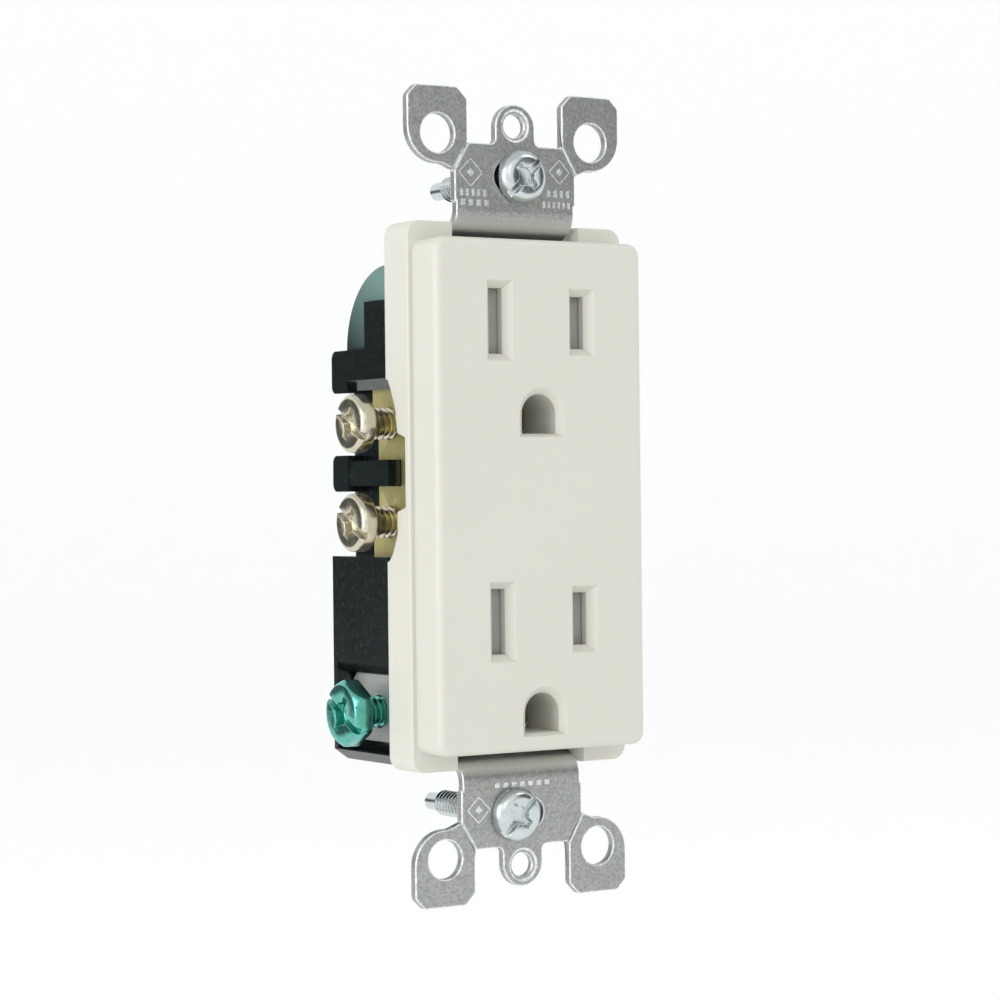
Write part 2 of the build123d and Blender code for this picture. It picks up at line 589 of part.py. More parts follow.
def ground_screw():
    hexagon = RegularPolygon(GROUND_HEX_AF / 2, 6, major_radius=False)
    head = extrude(hexagon, amount=GROUND_HEX_T)
    crown = Pos(0, 0, GROUND_HEX_T / 2) * Cylinder(GROUND_HEX_AF / 2 + 0.42, GROUND_HEX_T)
    crown = chamfer(crown.edges().group_by(Axis.Z)[-1], 0.6)
    head = head & crown
    head -= Pos(0, 0, GROUND_HEX_T) * combination_recess(GROUND_HEX_AF * 1.1, 1.1)
    shank = Rot(180, 0, 0) * threaded_shank(5.8, TERMINAL_THREAD_D, 0.79, 0.9)
    screw = Rot(0, -90, 0) * Rot(0, 0, 60) * (head + shank)
    return Pos(-PLATE_X - GROUND_BACKOUT, GROUND_TERM_Y, GROUND_TERM_Z) * screw


def mounting_screw(x, z):
    head = pan_head(BOX_SCREW_HEAD_D, BOX_SCREW_HEAD_T, 1.3)
    seat_y = -STRAP_T - HEAD_GAP
    length = BOX_SCREW_TIP_Y - seat_y
    shank = threaded_shank(length - DOG_LEN, BOX_SCREW_D, 0.79, 0.4)
    shank += Pos(0, 0, length - DOG_LEN / 2 - 0.2) * Cylinder(DOG_D / 2, DOG_LEN + 0.4)
    screw = head + Rot(180, 0, 0) * shank
    return Pos(x, seat_y, z) * Rot(90, 0, 0) * Rot(0, 0, 45) * screw


def captive_washer(x, z):
    """Fibre washer behind the strap that keeps the box screw in its slot."""
    washer = prism(Pos(x, z) * RectangleRounded(7.6, 8.0, 1.0), 0.05, 0.85)
    return washer - rod_y(x, z, BOX_SCREW_D + 0.1, 0, 1)


def assembly_screw(x, z):
    head_y = BODY_BACK_Y - 3.2
    screw = rod_y(x, z, FIX_D, -2.3, head_y)
    head = rod_y(x, z, 3.8, head_y, head_y + 1.4)
    head = fillet(head.faces().sort_by(Axis.Y)[-1].edges(), 0.4)
    head -= slab(x - 1.3, x + 1.3, head_y + 0.8, head_y + 1.5, z - 0.3, z + 0.3)
    head -= slab(x - 0.3, x + 0.3, head_y + 0.8, head_y + 1.5, z - 1.3, z + 1.3)
    return screw + head


def main():
    os.makedirs("parts", exist_ok=True)
    upper_z, lower_z = OUTLET_Z
    parts = {
        "front_cover": front_cover(),
        "back_body": back_body(),
        "mounting_strap": mounting_strap(),
        "neutral_contact": mirror_x(side_contact()),
        "hot_contact": side_contact(),
        "ground_contact_upper": ground_contact(upper_z),
        "ground_contact_lower": ground_contact(lower_z),
        "contact_rivet_upper": contact_rivet(upper_z),
        "contact_rivet_lower": contact_rivet(lower_z),
        "shutter_upper": shutter(upper_z),
        "shutter_lower": shutter(lower_z),
        "contact_separator": contact_separator(),
        "shutter_guide_upper": shutter_guide(upper_z),
        "shutter_guide_lower": shutter_guide(lower_z),
        "shutter_spring_upper": shutter_spring(upper_z),
        "shutter_spring_lower": shutter_spring(lower_z),
        "mounting_screw_top": mounting_screw(BOX_SCREW_X[0], BOX_SCREW_Z),
        "mounting_screw_bottom": mounting_screw(BOX_SCREW_X[1], -BOX_SCREW_Z),
        "captive_washer_top": captive_washer(BOX_SCREW_X[0], BOX_SCREW_Z),
        "captive_washer_bottom": captive_washer(BOX_SCREW_X[1], -BOX_SCREW_Z),
        "neutral_screw_upper": terminal_screw(-1, MID_Z + TERMINAL_DZ),
        "neutral_screw_lower": terminal_screw(-1, MID_Z - TERMINAL_DZ),
        "hot_screw_upper": terminal_screw(1, MID_Z + TERMINAL_DZ),
        "hot_screw_lower": terminal_screw(1, MID_Z - TERMINAL_DZ),
        "ground_screw": ground_screw(),
    }
    for x, side in ((-FIX_X, "left"), (FIX_X, "right")):
        for z, level in zip(FIX_Z, ("upper", "lower")):
            parts[f"assembly_screw_{side}_{level}"] = assembly_screw(x, z)
    for name, shape in parts.items():
        export_step(shape, os.path.join("parts", f"{name}.step"))


main()
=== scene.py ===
import math

import bmesh
import bpy
from mathutils import Matrix, Vector


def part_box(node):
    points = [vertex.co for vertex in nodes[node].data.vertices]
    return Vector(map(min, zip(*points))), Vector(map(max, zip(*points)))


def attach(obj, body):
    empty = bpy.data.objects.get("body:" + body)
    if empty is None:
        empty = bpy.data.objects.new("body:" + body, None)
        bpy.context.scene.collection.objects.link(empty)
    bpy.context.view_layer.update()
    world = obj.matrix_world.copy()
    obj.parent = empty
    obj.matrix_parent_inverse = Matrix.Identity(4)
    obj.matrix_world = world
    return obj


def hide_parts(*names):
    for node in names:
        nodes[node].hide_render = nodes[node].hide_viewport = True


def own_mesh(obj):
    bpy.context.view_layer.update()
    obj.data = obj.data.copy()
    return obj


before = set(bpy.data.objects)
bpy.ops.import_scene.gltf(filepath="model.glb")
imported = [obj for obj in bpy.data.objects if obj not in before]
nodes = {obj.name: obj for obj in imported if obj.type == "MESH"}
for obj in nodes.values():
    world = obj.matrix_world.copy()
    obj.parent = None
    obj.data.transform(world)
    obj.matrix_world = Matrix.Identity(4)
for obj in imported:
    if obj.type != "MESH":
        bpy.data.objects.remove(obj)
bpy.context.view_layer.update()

# ---------------------------------------------------------------- camera, in metres and degrees
CAM_AZIMUTH = -33.06
CAM_ELEVATION = 0.23
CAM_ROLL = -0.63
CAM_DISTANCE = 0.37368
CAM_TARGET = Vector((-0.002176, 0.0, -0.000566))
CAM_LENS = 102.67


# ---------------------------------------------------------------- node material helpers
class Shader:
    """A principled material with the few node shortcuts used below."""

    def __init__(self, name):
        self.mat = bpy.data.materials.new(name)
        self.mat.use_nodes = True
        self.tree = self.mat.node_tree
        self.bsdf = self.tree.nodes["Principled BSDF"]
        coords = self.tree.nodes.new("ShaderNodeTexCoord")
        self.object = coords.outputs["Object"]

    def set(self, **values):
        for key, value in values.items():
            self.bsdf.inputs[key.replace("_", " ")].default_value = value

    def link(self, out, socket):
        self.tree.links.new(out, socket)

    def scaled(self, scale):
        mapping = self.tree.nodes.new("ShaderNodeMapping")
        mapping.inputs["Scale"].default_value = scale
        self.link(self.object, mapping.inputs["Vector"])
        return mapping.outputs["Vector"]

    def noise(self, scale, detail=4.0, rough=0.55, vector=None, distortion=0.0):
        node = self.tree.nodes.new("ShaderNodeTexNoise")
        node.inputs["Scale"].default_value = scale
        node.inputs["Detail"].default_value = detail
        node.inputs["Roughness"].default_value = rough
        node.inputs["Distortion"].default_value = distortion
        self.link(vector or self.object, node.inputs["Vector"])
        return node.outputs["Fac"]

    def voronoi(self, scale):
        node = self.tree.nodes.new("ShaderNodeTexVoronoi")
        node.inputs["Scale"].default_value = scale
        self.link(self.object, node.inputs["Vector"])
        return node.outputs["Color"]

    def ramp(self, fac, stops):
        node = self.tree.nodes.new("ShaderNodeValToRGB")
        elements = node.color_ramp.elements
        while len(elements) < len(stops):
            elements.new(0.5)
        for element, (pos, colour) in zip(elements, stops):
            element.position = pos
            element.color = colour if len(colour) == 4 else (*colour, 1.0)
        self.link(fac, node.inputs["Fac"])
        return node.outputs["Color"]

    def span(self, fac, lo, hi, from_lo=0.0, from_hi=1.0):
        node = self.tree.nodes.new("ShaderNodeMapRange")
        node.inputs["From Min"].default_value = from_lo
        node.inputs["From Max"].default_value = from_hi
        node.inputs["To Min"].default_value = lo
        node.inputs["To Max"].default_value = hi
        self.link(fac, node.inputs["Value"])
        return node.outputs["Result"]

    def math(self, op, a, b):
        node = self.tree.nodes.new("ShaderNodeMath")
        node.operation = op
        for socket, value in zip(node.inputs, (a, b)):
            if isinstance(value, (int, float)):
                socket.default_value = value
            else:
                self.link(value, socket)
        return node.outputs["Value"]

    def mix(self, fac, a, b, blend="MIX"):
        node = self.tree.nodes.new("ShaderNodeMix")
        node.data_type = "RGBA"
        node.blend_type = blend
        for socket, value in ((node.inputs[0], fac), (node.inputs[6], a), (node.inputs[7], b)):
            if isinstance(value, (int, float)):
                socket.default_value = value
            elif isinstance(value, tuple):
                socket.default_value = value if len(value) == 4 else (*value, 1.0)
            else:
                self.link(value, socket)
        return node.outputs[2]

    def bump(self, height, strength, distance, below=None):
        node = self.tree.nodes.new("ShaderNodeBump")
        node.inputs["Strength"].default_value = strength
        node.inputs["Distance"].default_value = distance
        self.link(height, node.inputs["Height"])
        if below is not None:
            self.link(below, node.inputs["Normal"])
        return node.outputs["Normal"]

    def axes(self):
        node = self.tree.nodes.new("ShaderNodeSeparateXYZ")
        self.link(self.object, node.inputs["Vector"])
        return node.outputs

    def offset(self, value, centre=0.0):
        """Distance of a coordinate from a centre, always positive."""
        return self.math("ABSOLUTE", self.math("SUBTRACT", value, centre), 0.0)

    def band(self, value, half):
        """1 where a value is under half, falling softly to 0 just past it."""
        return self.span(value, 1.0, 0.0, half * 0.75, half * 1.25)

    def finish(self, colour, rough, normal=None):
        for value, key in ((colour, "Base Color"), (rough, "Roughness")):
            socket = self.bsdf.inputs[key]
            if isinstance(value, (int, float)):
                socket.default_value = value
            else:
                self.link(value, socket)
        if normal is not None:
            self.link(normal, self.bsdf.inputs["Normal"])
        return self.mat


# ---------------------------------------------------------------- materials
DOME_CHEEK_X = 0.0162
DOME_CHEEK_FOOT_Z = 0.0190
# Colour of the painted reflection on the end faces of the body's rounded part
DOME_PAINTED_REFLECTION = (0.165, 0.27, 0.25)
DUST = (0.16, 0.18, 0.17)
STRAP_BEND_Z = 0.0352
# Colour of the painted highlight along the strap's bends
STRAP_BEND_PAINTED_HIGHLIGHT = (0.74, 0.76, 0.73)
GROUND_TAB_X = -0.0143
GROUND_TAB_TOP_Z = 0.032
# Colour of the painted light on the ground tab, which lies in the shade of the ground screw's head
GROUND_TAB_PAINTED_LIGHT = (0.80, 0.84, 0.79)


def cover_material():
    s = Shader("cover_thermoplastic")
    cloud = s.noise(38.0, 3.0)
    fine = s.noise(5200.0, 3.0)
    colour = s.mix(cloud, (0.64, 0.635, 0.565), (0.67, 0.665, 0.595))
    white = (1.0, 1.0, 1.0)
    specks = s.ramp(s.noise(2300.0, 2.0), [(0.0, (0.9, 0.9, 0.9)), (0.27, white), (1.0, white)])
    colour = s.mix(0.5, colour, specks, "MULTIPLY")
    handled = s.noise(160.0, 5.0, 0.62)
    rough = s.span(handled, 0.34, 0.46)
    grain = s.bump(fine, 0.08, 0.00002)
    s.set(Subsurface_Weight=0.08, Subsurface_Scale=0.0012, IOR=1.49)
    return s.finish(colour, rough, grain)


def moulded_material(name, dark, light, rough_lo, rough_hi, painted_reflection=False):
    """Moulded plastic. The optional painted reflection is a pale grey-green painted on the end faces of the
    body's rounded part, in place of the gloss reflection of bright light there.
    """
    s = Shader(name)
    cloud = s.noise(55.0, 4.0)
    flow = s.noise(22.0, 5.0, 0.6, s.scaled((1.0, 1.0, 4.0)), 1.2)
    fine = s.noise(4200.0, 3.0)
    colour = s.mix(cloud, dark, light)
    if painted_reflection:
        # Painted reflection: pale grey-green painted on the dome's end faces, stronger higher up, in place of
        # the gloss reflection of bright light there.
        x, y, z = s.axes()
        side = s.band(s.offset(s.offset(x), DOME_CHEEK_X), 0.0002)
        above = s.span(z, 0.0, 1.0, DOME_CHEEK_FOOT_Z, DOME_CHEEK_FOOT_Z + 0.001)
        reflection_cheek = s.math("MULTIPLY", side, above)
        height = s.span(s.math("ADD", z, s.math("MULTIPLY", y, -0.6)), 0.10, 1.0, 0.011, 0.024)
        colour = s.mix(s.math("MULTIPLY", reflection_cheek, height), colour, DOME_PAINTED_REFLECTION)
    dust = s.noise(1500.0, 6.0, 0.75)
    colour = s.mix(s.span(dust, 0.0, 0.22, 0.56, 0.78), colour, DUST)
    rough = s.span(flow, rough_lo, rough_hi)
    rough = s.math("ADD", rough, s.span(dust, 0.0, 0.12, 0.5, 0.75))
    normal = s.bump(flow, 0.12, 0.0004)
    normal = s.bump(fine, 0.05, 0.00002, normal)
    return s.finish(colour, rough, normal)


def zinc_strap_material(name, dark, light):
    """Galvanised sheet, with a painted highlight along the bends and painted light on the ground tab."""
    s = Shader(name)
    grain = s.noise(2900.0, 4.0, 0.7)
    blotch = s.noise(420.0, 6.0, 0.7)
    spangle = s.voronoi(900.0)
    base = s.mix(blotch, dark, light)
    base = s.mix(0.015, base, spangle, "OVERLAY")
    pits = s.ramp(grain, [(0.30, (0.40, 0.40, 0.40)), (0.50, (0.88, 0.88, 0.88)), (0.70, (1.35, 1.35, 1.35))])
    base = s.mix(0.6, base, pits, "MULTIPLY")
    x, _, z = s.axes()
    rise = s.offset(z)
    # Painted highlight: a lighter band across the strap's bends, in place of the reflection of a lamp there.
    bend_highlight = s.span(s.offset(rise, STRAP_BEND_Z), 0.85, 0.0, 0.0003, 0.0013)
    base = s.mix(bend_highlight, base, STRAP_BEND_PAINTED_HIGHLIGHT)
    # Painted light: the ground tab under the green screw's head is painted lighter, in place of light falling
    # on it from the left.
    outer = s.span(x, 0.7, 0.0, GROUND_TAB_X, GROUND_TAB_X + 0.0005)
    tab_light = s.math("MULTIPLY", outer, s.band(rise, GROUND_TAB_TOP_Z))
    base = s.mix(tab_light, base, GROUND_TAB_PAINTED_LIGHT)
    rough = s.span(grain, 0.30, 0.46)
    rolled = s.noise(1500.0, 3.0, 0.5, s.scaled((0.25, 1.0, 1.0)))
    normal = s.bump(rolled, 0.10, 0.00004)
    normal = s.bump(grain, 0.35, 0.00004, normal)
    s.set(Metallic=0.8)
    return s.finish(base, rough, normal)


def plated_material(name, low, high, rough_lo, rough_hi, metallic=1.0):
    s = Shader(name)
    blotch = s.noise(900.0, 5.0, 0.65)
    fine = s.noise(6500.0, 4.0, 0.6)
    colour = s.mix(blotch, low, high)
    white = (1.0, 1.0, 1.0)
    dust = s.ramp(fine, [(0.0, (0.55, 0.55, 0.55)), (0.45, white), (1.0, white)])
    colour = s.mix(0.4, colour, dust, "MULTIPLY")
    rough = s.span(blotch, rough_lo, rough_hi)
    normal = s.bump(blotch, 0.10, 0.00005)
    normal = s.bump(fine, 0.12, 0.00002, normal)
    s.set(Metallic=metallic)
    return s.finish(colour, rough, normal)


def brass_material():
    s = Shader("rolled_brass")
    streak = s.noise(700.0, 5.0, 0.6, s.scaled((1.0, 1.0, 0.12)))
    tarnish = s.noise(260.0, 6.0, 0.7)
    colour = s.mix(tarnish, (0.68, 0.62, 0.25), (0.86, 0.80, 0.42))
    colour = s.mix(s.span(streak, 0.0, 0.35), colour, (0.36, 0.27, 0.10))
    rough = s.span(tarnish, 0.36, 0.52)
    normal = s.bump(streak, 0.12, 0.00004)
    s.set(Metallic=1.0)
    return s.finish(colour, rough, normal)


def fibre_material():
    s = Shader("black_fibre")
    weave = s.noise(2600.0, 6.0, 0.7, s.scaled((1.0, 1.0, 3.0)))
    colour = s.mix(weave, (0.012, 0.012, 0.013), (0.035, 0.034, 0.034))
    return s.finish(colour, s.span(weave, 0.55, 0.75), s.bump(weave, 0.3, 0.00005))


MATERIALS = {
    "cover": cover_material(),
    "body": moulded_material(
        "black_thermoplastic", (0.004, 0.007, 0.007), (0.010, 0.016, 0.016), 0.13, 0.22, painted_reflection=True
    ),
    # Painted edge highlight: a lighter black for the body's bevelled edges, in place of light catching them.
    "body_edge": moulded_material(
        "black_thermoplastic_edge_highlight", (0.02, 0.028, 0.028), (0.04, 0.052, 0.05), 0.16, 0.28
    ),
    "strap": zinc_strap_material("galvanised_strap", (0.37, 0.375, 0.365), (0.46, 0.465, 0.455)),
    # Painted edge highlight: a much lighter zinc for the strap's bevelled edges and raised marks, in place of
    # light catching them.
    "strap_edge": zinc_strap_material("galvanised_strap_edge_highlight", (0.74, 0.77, 0.76), (0.88, 0.91, 0.90)),
    "brass": brass_material(),
    "zinc": plated_material("zinc_plate", (0.50, 0.55, 0.56), (0.74, 0.79, 0.80), 0.16, 0.30),
    "nickel": plated_material("nickel_plate", (0.52, 0.48, 0.37), (0.74, 0.70, 0.57), 0.15, 0.30),
    "brass_screw": plated_material("brass_plate", (0.66, 0.48, 0.20), (0.82, 0.64, 0.32), 0.2, 0.34),
    "green": plated_material("green_dye", (0.05, 0.34, 0.285), (0.22, 0.62, 0.54), 0.13, 0.26, 0.95),
    "shutter": moulded_material("grey_shutter", (0.34, 0.34, 0.315), (0.40, 0.40, 0.37), 0.4, 0.5),
    "guide": moulded_material("natural_guide", (0.46, 0.46, 0.42), (0.55, 0.55, 0.50), 0.4, 0.5),
    "spring": plated_material("spring_wire", (0.45, 0.45, 0.45), (0.6, 0.6, 0.6), 0.25, 0.35),
    "fibre": fibre_material(),
}

NODE_FINISH = {
    "front_cover": "cover",
    "back_body": "body",
    "mounting_strap": "strap",
    "neutral_contact": "brass",
    "hot_contact": "brass",
    "ground_contact_upper": "brass",
    "ground_contact_lower": "brass",
    "contact_separator": "fibre",
    "shutter_upper": "shutter",
    "shutter_lower": "shutter",
    "shutter_guide_upper": "guide",
    "shutter_guide_lower": "guide",
    "shutter_spring_upper": "spring",
    "shutter_spring_lower": "spring",
    "captive_washer_top": "fibre",
    "captive_washer_bottom": "fibre",
    "neutral_screw_upper": "nickel",
    "neutral_screw_lower": "nickel",
    "hot_screw_upper": "brass_screw",
    "hot_screw_lower": "brass_screw",
    "ground_screw": "green",
}


def finish_of(name):
    return MATERIALS[NODE_FINISH.get(name, "zinc")]


# ---------------------------------------------------------------- CAD nodes: finish and softened edges
MERGE_DISTANCE = 0.000001
FLAT_ANGLE = math.radians(0.2)
EDGE_ANGLE = math.radians(32)
EDGE_BREAK = {
    "front_cover": 0.00012,
    "back_body": 0.00015,
    "mounting_strap": 0.00018,
    "neutral_contact": 0.00006,
    "hot_contact": 0.00006,
    "captive_washer_top": 0.00010,
    "captive_washer_bottom": 0.00010,
}


def soften(obj, width, slot, sheet):
    """Welded, bevelled edges with flat faces kept flat, the new faces in the given material slot.

    Sheet metal gets its full bevel: its flat faces are joined first, so no bevel has to be clamped.
    """
    weld = obj.modifiers.new("weld", "WELD")
    weld.merge_threshold = MERGE_DISTANCE
    if sheet:
        flats = obj.modifiers.new("flats", "DECIMATE")
        flats.decimate_type = "DISSOLVE"
        flats.angle_limit = FLAT_ANGLE
    bevel = obj.modifiers.new("edge_break", "BEVEL")
    bevel.width = width
    bevel.segments = 2
    bevel.limit_method = "ANGLE"
    bevel.angle_limit = EDGE_ANGLE
    bevel.face_strength_mode = "FSTR_ALL"
    bevel.use_clamp_overlap = not sheet
    bevel.material = slot
    shading = obj.modifiers.new("shading", "WEIGHTED_NORMAL")
    shading.keep_sharp = False
    shading.use_face_influence = True


# The bevelled edges of these parts take a lighter material: a painted edge highlight.
PAINTED_EDGE_HIGHLIGHTS = {"back_body": "body_edge", "mounting_strap": "strap_edge"}

for name, obj in nodes.items():
    obj.data.materials.clear()
    obj.data.materials.append(finish_of(name))
    if name in PAINTED_EDGE_HIGHLIGHTS:
        obj.data.materials.append(MATERIALS[PAINTED_EDGE_HIGHLIGHTS[name]])
    if name in EDGE_BREAK:
        soften(obj, EDGE_BREAK[name], len(obj.data.materials) - 1, name == "mounting_strap")


# ---------------------------------------------------------------- raised generic marks on the strap's front
STRAP_FRONT_Y = -0.0012
MARK_RISE = 0.00008
MARK_SUNK = 0.00004
MARK_DRAFT = 0.00003
LINE_HALF = 0.00011
DOT_HALF = 0.00042
LOZENGES = ((-0.0070, 0.0420, 0.0018), (0.0069, 0.0427, 0.0016), (-0.0068, -0.0408, 0.0017))
DASH_ROWS = (
    (-0.00665, 0.0394, 5, 0.00088, 0.00050),
    (-0.0064, 0.0381, 4, 0.00120, 0.00045),
    (0.0067, 0.0398, 4, 0.00100, 0.00050),
    (0.0064, 0.0383, 6, 0.00078, 0.00045),
    (0.0, -0.0378, 7, 0.00130, 0.00033),
)
DASH_FILL = 0.30


def raised_bar(bm, x, z, half_w, half_h, turn=0.0):
    """Bar on the strap's front with sloped sides, turned in the strap's plane."""
    loops = []
    for y, draw in ((STRAP_FRONT_Y + MARK_SUNK, 0.0), (STRAP_FRONT_Y - MARK_RISE, MARK_DRAFT)):
        w, h = half_w - draw, half_h - draw
        ring = []
        for u, v in ((-w, -h), (w, -h), (w, h), (-w, h)):
            across = u * math.cos(turn) - v * math.sin(turn)
            along = u * math.sin(turn) + v * math.cos(turn)
            ring.append(bm.verts.new((x + across, y, z + along)))
        loops.append(ring)
    base, top = loops
    bm.faces.new(top)
    bm.faces.new(base[::-1])
    for k in range(4):
        after = (k + 1) % 4
        bm.faces.new((base[k], base[after], top[after], top[k]))


def strap_marks():
    """Lozenges with a dot and rows of plain dashes, standing where the real strap has stamped marks."""
    bm = bmesh.new()
    for x, z, reach in LOZENGES:
        half = reach / math.sqrt(2)
        for side_x, side_z in ((1, 1), (1, -1), (-1, 1), (-1, -1)):
            turn = -side_x * side_z * math.pi / 4
            raised_bar(bm, x + side_x * reach / 2, z + side_z * reach / 2, half, LINE_HALF, turn)
        raised_bar(bm, x, z, DOT_HALF, DOT_HALF, math.pi / 4)
    for x, z, count, pitch, half_h in DASH_ROWS:
        for k in range(count):
            raised_bar(bm, x + (k - (count - 1) / 2) * pitch, z, DASH_FILL * pitch, half_h)
    bmesh.ops.recalc_face_normals(bm, faces=bm.faces)
    mesh = bpy.data.meshes.new("strap_marks")
    bm.to_mesh(mesh)
    bm.free()
    # The raised marks take the strap's painted edge-highlight colour.
    mesh.materials.append(MATERIALS["strap_edge"])
    marks = bpy.data.objects.new("strap_marks", mesh)
    bpy.context.collection.objects.link(marks)
    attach(marks, "housing")


strap_marks()


# ---------------------------------------------------------------- screws with a real helical thread
THREAD_STEPS = 44
THREAD_ROWS = (0.0, 0.0, 0.55, 1.0, 1.0, 0.55)
SEAT_SLACK = 0.000004
HEAD_EDGE = 0.00009
SHANK_SUNK = 0.0001
DOG_EDGE = 0.0002
DOG_SUNK = 0.0003


def thread_surface(bm, place, length, root, crest, pitch, tip):
    """Helical ridge around the local +Z axis, from the origin to length, coned at its end."""
    rows = len(THREAD_ROWS)
    count = int((length / pitch + 2) * rows)
    grid = []
    for row in range(count):
        ring = []
        height = THREAD_ROWS[row % rows]
        for step in range(THREAD_STEPS):
            climb = (row / rows + step / THREAD_STEPS - 1) * pitch
            along = min(max(climb, 0.0), length)
            ridge = root + (crest - root) * height if climb > 0.0 else root
            radius = min(ridge, tip + (length - along) * 0.9)
            turn = 2 * math.pi * step / THREAD_STEPS
            point = Vector((radius * math.cos(turn), radius * math.sin(turn), along))
            ring.append(bm.verts.new(place @ point))
        grid.append(ring)
    for row in range(count - rows - 1):
        for step in range(THREAD_STEPS):
            wrap = step == THREAD_STEPS - 1
            after = row + rows if wrap else row
            column = 0 if wrap else step + 1
            corners = (grid[row][step], grid[after][column], grid[after + 1][column], grid[row + 1][step])
            bm.faces.new(corners)
    centre = bm.verts.new(place @ Vector((0, 0, length)))
    last = grid[count - rows - 1]
    for step in range(THREAD_STEPS):
        bm.faces.new((last[step], last[(step + 1) % THREAD_STEPS], centre))


def head_of(node, axis, seat):
    """The part of a CAD screw on the head side of its seat, with its edges broken."""
    bm = bmesh.new()
    bm.from_mesh(nodes[node].data)
    bmesh.ops.remove_doubles(bm, verts=bm.verts, dist=MERGE_DISTANCE)
    shank = [f for f in bm.faces if f.calc_center_median().dot(axis) > seat + SEAT_SLACK]
    bmesh.ops.delete(bm, geom=shank, context="FACES")
    sharp = [e for e in bm.edges if len(e.link_faces) == 2 and e.calc_face_angle() > EDGE_ANGLE]
    bmesh.ops.bevel(bm, geom=sharp, offset=HEAD_EDGE, segments=2, affect="EDGES", profile=0.5)
    return bm


def face_outward(bm):
    """Consistent normals, then every closed shell turned outward by the sign of its volume."""
    bmesh.ops.recalc_face_normals(bm, faces=bm.faces)
    left = set(bm.faces)
    while left:
        shell = [left.pop()]
        for face in shell:
            for edge in face.edges:
                for other in edge.link_faces:
                    if other in left:
                        left.remove(other)
                        shell.append(other)
        volume = 0.0
        for face in shell:
            first, *rest = [v.co for v in face.verts]
            volume += sum(first.dot(a.cross(b)) for a, b in zip(rest, rest[1:]))
        if volume < 0.0:
            bmesh.ops.reverse_faces(bm, faces=shell)


def helical_screw(name, node, centre, axis, length, crest, pitch, tip, dog=None):
    """Screw piece: the CAD head, a helical shank along axis from centre, and a plain dog end."""
    axis = Vector(axis)
    centre = Vector(centre)
    bm = head_of(node, axis, centre.dot(axis))
    turn = axis.to_track_quat("Z", "Y").to_matrix().to_4x4()
    place = Matrix.Translation(centre - axis * SHANK_SUNK) @ turn
    root = crest - 0.6 * pitch
    thread_surface(bm, place, length + SHANK_SUNK, root, crest, pitch, tip)
    if dog is not None:
        radius, reach = dog
        start = length - DOG_SUNK
        edge = DOG_EDGE
        profile = ((0.0, radius), (reach - edge, radius), (reach, radius - edge), (reach, 0.0))
        spin = [2 * math.pi * k / THREAD_STEPS for k in range(THREAD_STEPS)]
        rings = []
        for along, r in profile:
            points = [Vector((r * math.cos(a), r * math.sin(a), start + along)) for a in spin]
            rings.append([bm.verts.new(place @ point) for point in points])
        for low, high in zip(rings, rings[1:]):
            for k in range(THREAD_STEPS):
                after = (k + 1) % THREAD_STEPS
                bm.faces.new((low[k], low[after], high[after], high[k]))
    bmesh.ops.remove_doubles(bm, verts=bm.verts, dist=0.0000005)
    bmesh.ops.holes_fill(bm, edges=[e for e in bm.edges if e.is_boundary])
    face_outward(bm)
    for face in bm.faces:
        face.smooth = True
    mesh = bpy.data.meshes.new(name)
    bm.to_mesh(mesh)
    bm.free()
    mesh.set_sharp_from_angle(angle=math.radians(38))
    mesh.materials.append(finish_of(node))
    piece = bpy.data.objects.new(name, mesh)
    bpy.context.collection.objects.link(piece)
    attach(piece, node)
    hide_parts(node)
    return piece


def centre_of(node):
    low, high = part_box(node)
    return [(a + b) / 2 for a, b in zip(low, high)]


PITCH = 0.00079
TERMINAL_CREST = 0.00208
TERMINAL_TIP = 0.0013
TERMINAL_HEAD = 0.0022
TERMINAL_SHANK = 0.0064
GROUND_HEAD = 0.0026
GROUND_SHANK = 0.0058
BOX_HEAD = 0.00195
BOX_CREST = 0.001725
BOX_TIP = 0.0012
BOX_DOG = (0.001225, 0.0032)
BOX_DOG_LENGTH = 0.0029
for side, axis_x in (("neutral", 1), ("hot", -1)):
    for level in ("upper", "lower"):
        node = f"{side}_screw_{level}"
        low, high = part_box(node)
        middle = centre_of(node)
        outer_x = low[0] if axis_x > 0 else high[0]
        seat = (outer_x + axis_x * TERMINAL_HEAD, middle[1], middle[2])
        name = f"{side}_terminal_{level}"
        shank = (TERMINAL_SHANK, TERMINAL_CREST, PITCH, TERMINAL_TIP)
        helical_screw(name, node, seat, (axis_x, 0, 0), *shank)
low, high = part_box("ground_screw")
middle = centre_of("ground_screw")
seat = (low[0] + GROUND_HEAD, middle[1], middle[2])
shank = (GROUND_SHANK, TERMINAL_CREST, PITCH, TERMINAL_TIP)
helical_screw("ground_hex_screw", "ground_screw", seat, (1, 0, 0), *shank)
for level in ("top", "bottom"):
    node = f"mounting_screw_{level}"
    low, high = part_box(node)
    middle = centre_of(node)
    seat = (middle[0], low[1] + BOX_HEAD, middle[2])
    shank = (high[1] - seat[1] - BOX_DOG_LENGTH, BOX_CREST, PITCH, BOX_TIP)
    helical_screw(f"box_screw_{level}", node, seat, (0, 1, 0), *shank, dog=BOX_DOG)


def return_spring(level):
    """The CAD spring's own wire, as a piece of its own that rides on the housing."""
    node = f"shutter_spring_{level}"
    mesh = nodes[node].data.copy()
    mesh.name = f"return_spring_{level}"
    piece = bpy.data.objects.new(mesh.name, mesh)
    bpy.context.collection.objects.link(piece)
    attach(piece, "housing")
    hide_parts(node)
    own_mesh(piece)


for level in ("upper", "lower"):
    return_spring(level)


# ---------------------------------------------------------------- stage, lights, camera
def area(name, place, size_x, size_y, power):
    """Rectangular white lamp that looks at the object."""
    data = bpy.data.lights.new(name, "AREA")
    data.shape = "RECTANGLE"
    data.size = size_x
    data.size_y = size_y
    data.energy = power
    lamp = bpy.data.objects.new(name, data)
    bpy.context.collection.objects.link(lamp)
    lamp.location = place
    lamp.rotation_euler = (-Vector(place)).to_track_quat("-Z", "Y").to_euler()


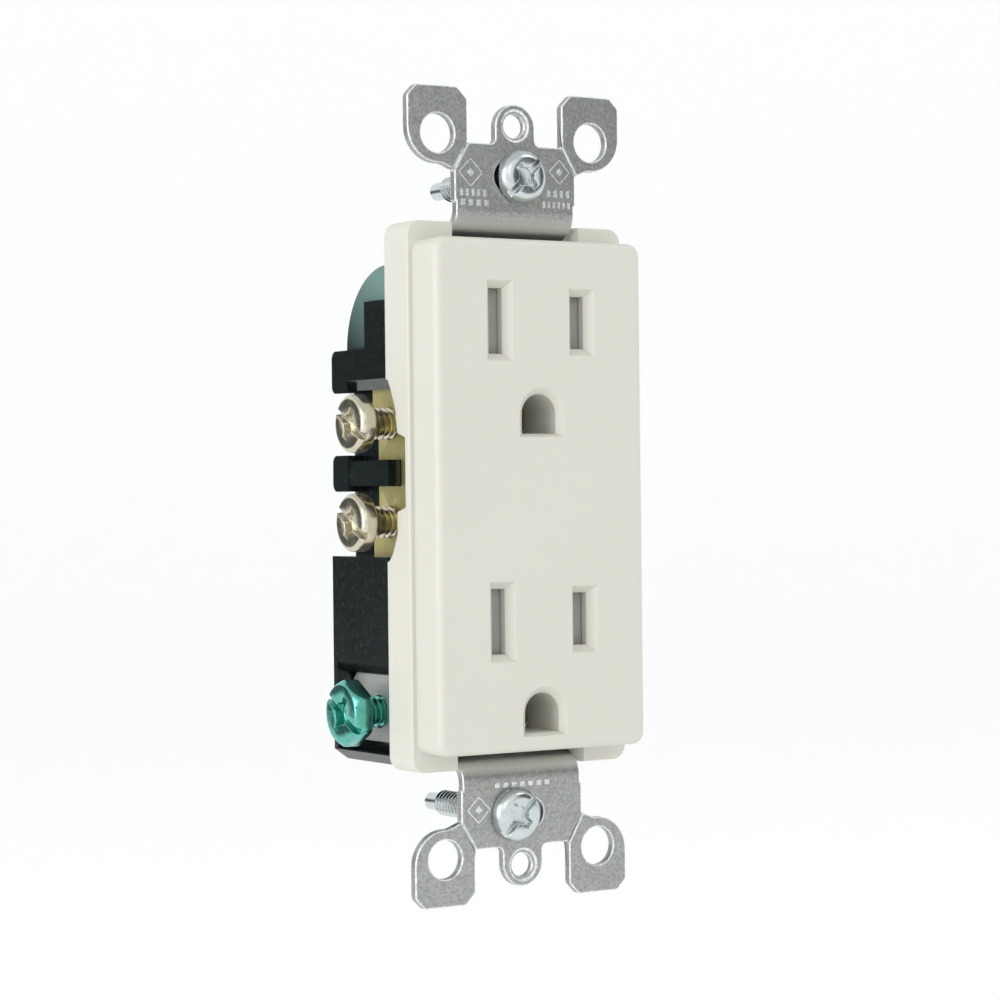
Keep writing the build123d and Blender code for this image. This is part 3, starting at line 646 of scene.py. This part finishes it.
def sweep():
    """Pale paper floor that curls up into a wall all round, far from the object."""
    paper = Shader("paper_sweep")
    fibres = paper.noise(900.0, 4.0)
    tint = paper.mix(fibres, (0.885, 0.89, 0.89), (0.915, 0.92, 0.92))
    paper.set(Emission_Color=(0.97, 0.97, 0.97, 1.0), Emission_Strength=0.17)
    surface = paper.finish(tint, 0.85)
    surface.cycles.emission_sampling = "NONE"
    floor_z = -0.085
    profile = [(0.0, 0.0), (0.5, 0.0), (0.9, 0.0)]
    for k in range(1, 13):
        turn = math.pi / 2 * k / 12
        profile.append((0.9 + 0.6 * math.sin(turn), 0.6 - 0.6 * math.cos(turn)))
    profile.append((1.5, 1.3))
    steps = 64
    verts = []
    faces = []
    for radius, height in profile:
        for k in range(steps):
            turn = 2 * math.pi * k / steps
            verts.append((radius * math.cos(turn), radius * math.sin(turn), floor_z + height))
    for row in range(len(profile) - 1):
        for k in range(steps):
            after = (k + 1) % steps
            a = row * steps
            b = a + steps
            faces.append((a + k, a + after, b + after, b + k))
    mesh = bpy.data.meshes.new("sweep")
    mesh.from_pydata(verts, [], faces)
    mesh.polygons.foreach_set("use_smooth", [True] * len(faces))
    mesh.materials.append(surface)
    floor = bpy.data.objects.new("sweep", mesh)
    bpy.context.collection.objects.link(floor)


def dark_card(name, place, width, height):
    """Grey card that only reflections see, so that bright metal and gloss get some contrast."""
    card = Shader(name)
    tone = card.mix(card.noise(6.0, 3.0), (0.015, 0.02, 0.02), (0.045, 0.055, 0.052))
    mesh = bpy.data.meshes.new(name)
    w, h = width / 2, height / 2
    mesh.from_pydata([(-w, -h, 0), (w, -h, 0), (w, h, 0), (-w, h, 0)], [], [(0, 1, 2, 3)])
    mesh.materials.append(card.finish(tone, 0.9))
    board = bpy.data.objects.new(name, mesh)
    bpy.context.collection.objects.link(board)
    board.location = place
    board.rotation_euler = (-Vector(place)).to_track_quat("-Z", "Y").to_euler()
    board.visible_camera = False
    board.visible_diffuse = False
    board.visible_shadow = False


def studio():
    sweep()
    dark_card("card_behind", (-0.36, 0.54, 0.01), 0.32, 0.24)
    dark_card("card_front", (0.465, -0.449, 0.21), 0.44, 0.42)
    world = bpy.data.worlds.new("studio")
    world.use_nodes = True
    background = world.node_tree.nodes["Background"]
    background.inputs["Color"].default_value = (0.975, 0.98, 0.98, 1.0)
    background.inputs["Strength"].default_value = 0.75
    bpy.context.scene.world = world
    area("key", (-0.30, -0.62, 0.34), 0.5, 0.4, 0.34)
    area("left_fill", (-0.75, -0.15, 0.15), 0.4, 0.6, 2.2)
    area("right_high", (0.46, -0.44, 0.52), 0.3, 0.3, 0.6)


def camera():
    az = math.radians(CAM_AZIMUTH)
    el = math.radians(CAM_ELEVATION)
    back = Vector((math.sin(az) * math.cos(el), -math.cos(az) * math.cos(el), math.sin(el)))
    right = (-back).cross(Vector((0, 0, 1))).normalized()
    up = right.cross(-back)
    roll = math.radians(CAM_ROLL)
    turned_right = math.cos(roll) * right + math.sin(roll) * up
    turned_up = -math.sin(roll) * right + math.cos(roll) * up
    data = bpy.data.cameras.new("photo_view")
    data.lens = CAM_LENS
    data.sensor_width = 36.0
    data.clip_start = 0.01
    cam = bpy.data.objects.new("photo_view", data)
    bpy.context.collection.objects.link(cam)
    basis = Matrix((turned_right, turned_up, back)).transposed().to_4x4()
    cam.matrix_world = Matrix.Translation(CAM_TARGET + back * CAM_DISTANCE) @ basis
    bpy.context.scene.camera = cam


studio()
camera()
bpy.context.scene.view_settings.view_transform = "Standard"
